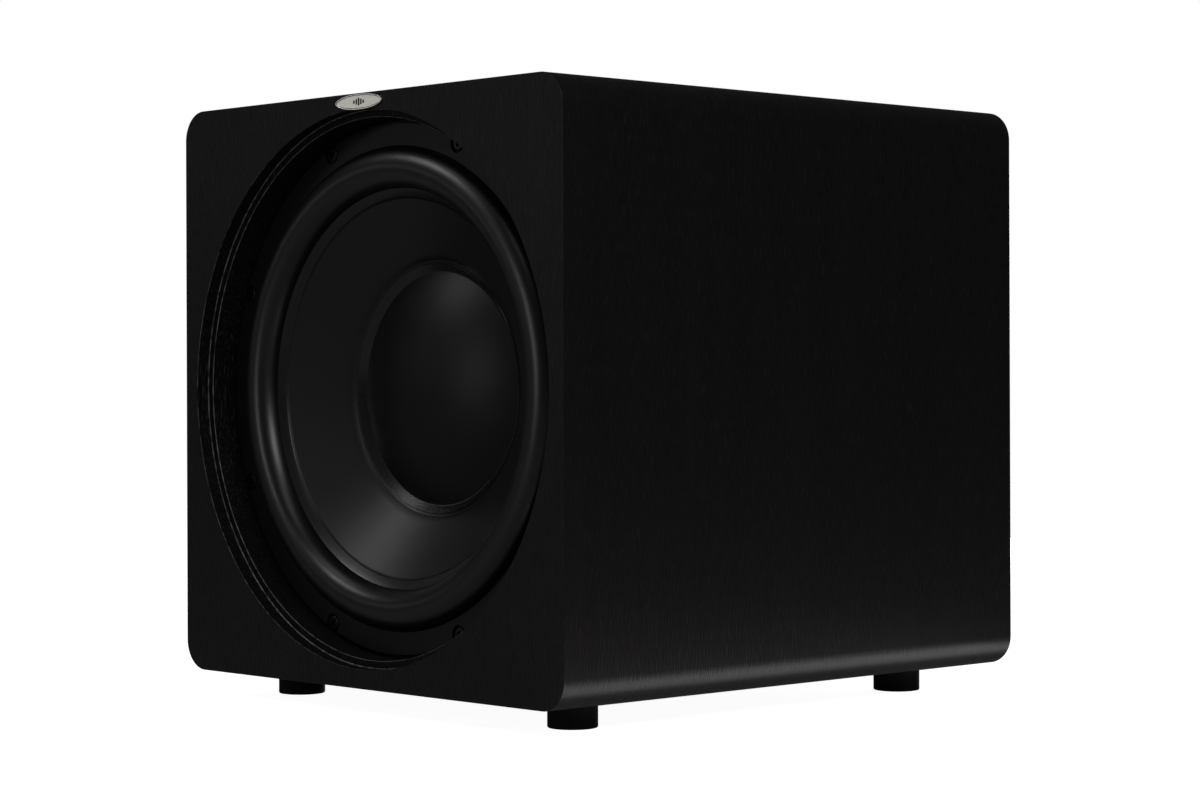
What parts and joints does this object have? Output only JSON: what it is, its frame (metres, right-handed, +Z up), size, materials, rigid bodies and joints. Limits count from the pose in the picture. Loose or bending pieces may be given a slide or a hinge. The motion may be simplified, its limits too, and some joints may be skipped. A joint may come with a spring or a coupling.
{
  "type": "powered subwoofer cabinet",
  "caption": "Sealed wooden subwoofer box with a front-firing cone driver in a stepped opening, four round feet and a plate amplifier with controls at the back.",
  "frame": {"origin": "on the floor, in the middle of the box's footprint", "axes": "+Z up, the front with the driver faces -Y, +X is on the right of someone who looks at the front"},
  "size_m": [0.425, 0.4634, 0.441],
  "materials": {
    "veneer": "black-stained ash veneer, open vertical grain, satin lacquer",
    "board": "bare medium-density fibreboard",
    "board_black": "fibreboard painted black in the opening",
    "batten": "bare softwood",
    "wadding": "polyester wadding",
    "foot_rubber": "matte moulded rubber",
    "badge_metal": "bright rim, satin field",
    "badge_enamel": "black enamel",
    "frame_metal": "cast, black powder coat",
    "foam": "closed-cell foam",
    "trim_rubber": "satin moulded rubber",
    "screw_black": "black oxide",
    "steel_zinc": "zinc plated",
    "roll_rubber": "satin butyl rubber",
    "cone_fibre": "fine-textured pressed fibre",
    "cap_fibre": "satin pressed fibre",
    "former_film": "polyimide film",
    "copper": "enamelled copper wire",
    "spider_cloth": "resin-stiffened cloth",
    "ferrite": "sintered ferrite",
    "terminal_board": "phenolic board",
    "boot_rubber": "matte moulded rubber",
    "cable_pvc": "insulated twin cable",
    "plate_black": "black anodised",
    "sink_black": "black anodised extrusion",
    "circuit": "glass-epoxy circuit board",
    "can_sleeve": "shrink sleeve",
    "tape": "polyester tape over copper",
    "knob_plastic": "moulded, matte",
    "switch_plastic": "moulded nylon",
    "nickel": "bright nickel",
    "gold_plate": "gold plated",
    "light_lens": "clear green lens"
  },
  "bodies": {
    "cabinet": {"side_panels": "board", "top_panel": "board", "bottom_panel": "board", "corner_blocks": "board", "front_baffle": "board_black", "driver_baffle": "board_black", "window_brace": "board", "back_panel": "board_black", "back_cleats": "batten", "damping_lining": "wadding", "veneer_wrap": "veneer", "veneer_front": "veneer", "feet": "foot_rubber", "foot_screws": "screw_black", "badge": "badge_metal", "badge_inlay": "badge_enamel", "basket": "frame_metal", "basket_gasket": "foam", "trim_ring": "trim_rubber", "driver_screws": "screw_black", "tee_nuts": "steel_zinc", "terminal_strip": "terminal_board", "surround": "roll_rubber", "spider": "spider_cloth", "tinsel_leads": "copper", "top_plate": "steel_zinc", "magnet": "ferrite", "yoke": "steel_zinc", "magnet_boot": "boot_rubber", "speaker_cable": "cable_pvc", "amplifier_plate": "plate_black", "plate_gasket": "foam", "plate_screws": "screw_black", "heat_sink": "sink_black", "amplifier_housing": "steel_zinc", "circuit_board": "circuit", "board_standoffs": "steel_zinc", "capacitors": "can_sleeve", "transformer": "tape", "potentiometers": "steel_zinc", "toggle_switch": "nickel", "status_light": "light_lens", "line_jacks": "gold_plate", "jack_insulators": "switch_plastic", "power_switch": "switch_plastic", "mains_inlet": "switch_plastic", "inlet_pins": "nickel", "inlet_screws": "screw_black"},
    "diaphragm": {"cone": "cone_fibre", "dust_cap": "cap_fibre", "voice_coil_former": "former_film", "voice_coil": "copper"},
    "volume_control": {"volume_knob": "knob_plastic", "volume_shaft": "steel_zinc"},
    "crossover_control": {"crossover_knob": "knob_plastic", "crossover_shaft": "steel_zinc"},
    "phase_control": {"phase_knob": "knob_plastic", "phase_shaft": "steel_zinc"},
    "toggle": {"toggle_lever": "nickel"},
    "rocker": {"power_rocker": "switch_plastic"}
  },
  "joints": [
    {"name": "diaphragm_stroke", "type": "slide", "parent": "cabinet", "child": "diaphragm", "axis": [0, -1, 0], "range_m": [-0.012, 0.012], "stiffness_N_per_m": 4800, "deforming": ["surround", "spider", "tinsel_leads"]},
    {"name": "volume_turn", "type": "hinge", "parent": "cabinet", "child": "volume_control", "pos_m": [-0.105, 0.2222, 0.34], "axis": [0, -1, 0], "range_deg": [-150, 150]},
    {"name": "crossover_turn", "type": "hinge", "parent": "cabinet", "child": "crossover_control", "pos_m": [-0.065, 0.2222, 0.34], "axis": [0, -1, 0], "range_deg": [-150, 150]},
    {"name": "phase_turn", "type": "hinge", "parent": "cabinet", "child": "phase_control", "pos_m": [-0.025, 0.2222, 0.34], "axis": [0, -1, 0], "range_deg": [-150, 150]},
    {"name": "toggle_throw", "type": "hinge", "parent": "cabinet", "child": "toggle", "pos_m": [-0.095, 0.2187, 0.245], "axis": [1, 0, 0], "range_deg": [-24, 0]},
    {"name": "rocker_throw", "type": "hinge", "parent": "cabinet", "child": "rocker", "pos_m": [-0.075, 0.2197, 0.168], "axis": [1, 0, 0], "range_deg": [-16, 0]}
  ]
}
